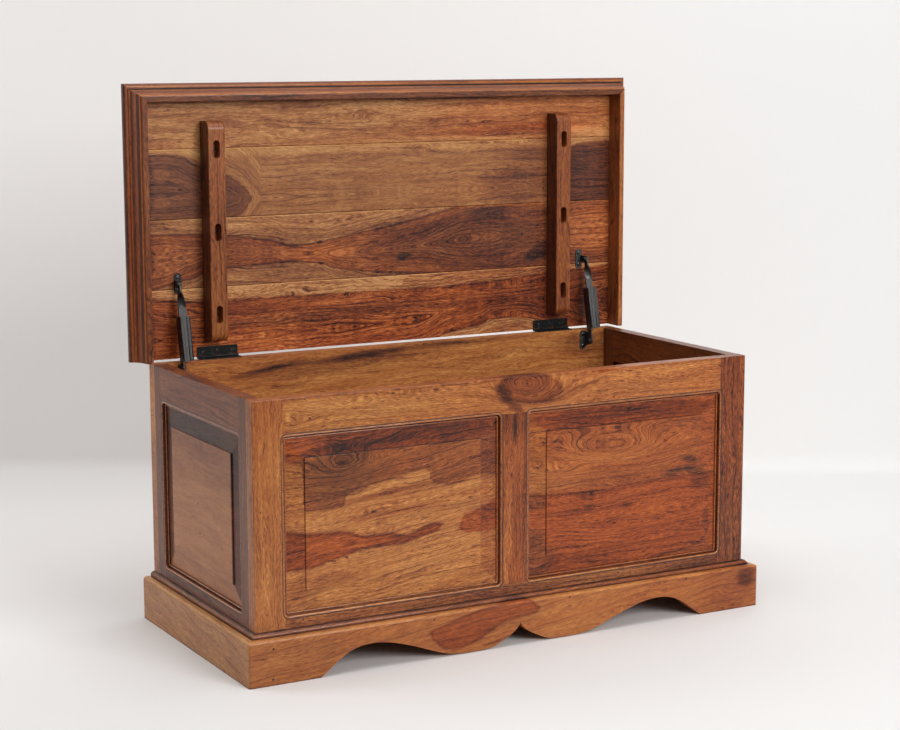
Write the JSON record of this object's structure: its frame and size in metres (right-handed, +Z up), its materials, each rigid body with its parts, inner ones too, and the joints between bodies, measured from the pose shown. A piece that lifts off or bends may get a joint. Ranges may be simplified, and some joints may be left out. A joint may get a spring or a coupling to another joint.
{
  "type": "blanket chest",
  "caption": "Wooden blanket chest with framed raised panels, a scalloped plinth and a cap lid with a moulded edge that lifts on rear hinges and is held by sliding stays.",
  "frame": {"origin": "middle of the footprint of the open chest, on the floor", "axes": "+X along the front to the right as seen from the front, +Y from the front to the back, +Z up"},
  "size_m": [1.0718, 0.5122, 0.9842],
  "materials": {
    "frame_wood": "satin lacquer",
    "panel_wood": "satin lacquer",
    "plinth_wood": "satin lacquer",
    "lid_wood": "satin lacquer",
    "inner_wood": "thin lacquer",
    "hinge_steel": "black",
    "stay_steel": "black",
    "screw_steel": "blackened"
  },
  "bodies": {
    "chest": {"back_lower_board": "inner_wood", "back_middle_board": "inner_wood", "back_upper_board": "inner_wood", "bottom_boards": "inner_wood", "bottom_cleats": "inner_wood", "front_bottom_rail": "frame_wood", "front_centre_stile": "frame_wood", "front_left_panel": "panel_wood", "front_left_stile": "frame_wood", "front_right_panel": "panel_wood", "front_right_stile": "frame_wood", "front_top_rail": "frame_wood", "hinge_wall_screws": "screw_steel", "left_bottom_rail": "frame_wood", "left_front_stile": "frame_wood", "left_hinge_pin": "hinge_steel", "left_hinge_wall_leaf": "hinge_steel", "left_panel": "panel_wood", "left_rear_stile": "frame_wood", "left_stay_wall_bracket": "stay_steel", "left_top_rail": "frame_wood", "plinth_corner_blocks": "inner_wood", "plinth_front": "plinth_wood", "plinth_left": "plinth_wood", "plinth_rear": "inner_wood", "plinth_right": "plinth_wood", "right_bottom_rail": "frame_wood", "right_front_stile": "frame_wood", "right_hinge_pin": "hinge_steel", "right_hinge_wall_leaf": "hinge_steel", "right_panel": "panel_wood", "right_rear_stile": "frame_wood", "right_stay_wall_bracket": "stay_steel", "right_top_rail": "frame_wood", "stay_wall_screws": "screw_steel"},
    "lid": {"batten_screws": "screw_steel", "hinge_lid_screws": "screw_steel", "left_batten": "lid_wood", "left_hinge_lid_leaf": "hinge_steel", "left_stay_lid_bracket": "stay_steel", "lid_board_1": "lid_wood", "lid_board_2": "lid_wood", "lid_board_3": "lid_wood", "lid_board_4": "lid_wood", "lid_front_moulding": "lid_wood", "lid_front_rim": "lid_wood", "lid_left_moulding": "lid_wood", "lid_left_rim": "lid_wood", "lid_right_moulding": "lid_wood", "lid_right_rim": "lid_wood", "right_batten": "lid_wood", "right_hinge_lid_leaf": "hinge_steel", "right_stay_lid_bracket": "stay_steel", "stay_lid_screws": "screw_steel"},
    "left_stay_housing": {"left_stay_housing": "stay_steel"},
    "right_stay_housing": {"right_stay_housing": "stay_steel"},
    "left_stay_arm": {"left_stay_arm": "stay_steel"},
    "right_stay_arm": {"right_stay_arm": "stay_steel"}
  },
  "joints": [
    {"name": "lid_hinge", "type": "hinge", "parent": "chest", "child": "lid", "pos_m": [0, 0.2355, 0.4806], "axis": [1, 0, 0], "range_deg": [0, 90.6]},
    {"name": "left_stay_turn", "type": "hinge", "parent": "chest", "child": "left_stay_housing", "pos_m": [-0.441, 0.1899, 0.457], "axis": [1, 0, 0], "range_deg": [0, 95.85]},
    {"name": "left_stay_slide", "type": "slide", "parent": "left_stay_housing", "child": "left_stay_arm", "axis": [0, -0.1938, -0.981], "range_m": [0, 0.0721]},
    {"name": "right_stay_turn", "type": "hinge", "parent": "chest", "child": "right_stay_housing", "pos_m": [0.441, 0.1899, 0.457], "axis": [1, 0, 0], "range_deg": [0, 95.85]},
    {"name": "right_stay_slide", "type": "slide", "parent": "right_stay_housing", "child": "right_stay_arm", "axis": [0, -0.1938, -0.981], "range_m": [0, 0.0721]}
  ],
  "couplings": [
    {"joint": "left_stay_turn", "follows": "lid_hinge", "ratio": 1.0579},
    {"joint": "left_stay_slide", "follows": "lid_hinge", "m_per_rad": 0.045591},
    {"joint": "right_stay_turn", "follows": "lid_hinge", "ratio": 1.0579},
    {"joint": "right_stay_slide", "follows": "lid_hinge", "m_per_rad": 0.045591}
  ]
}
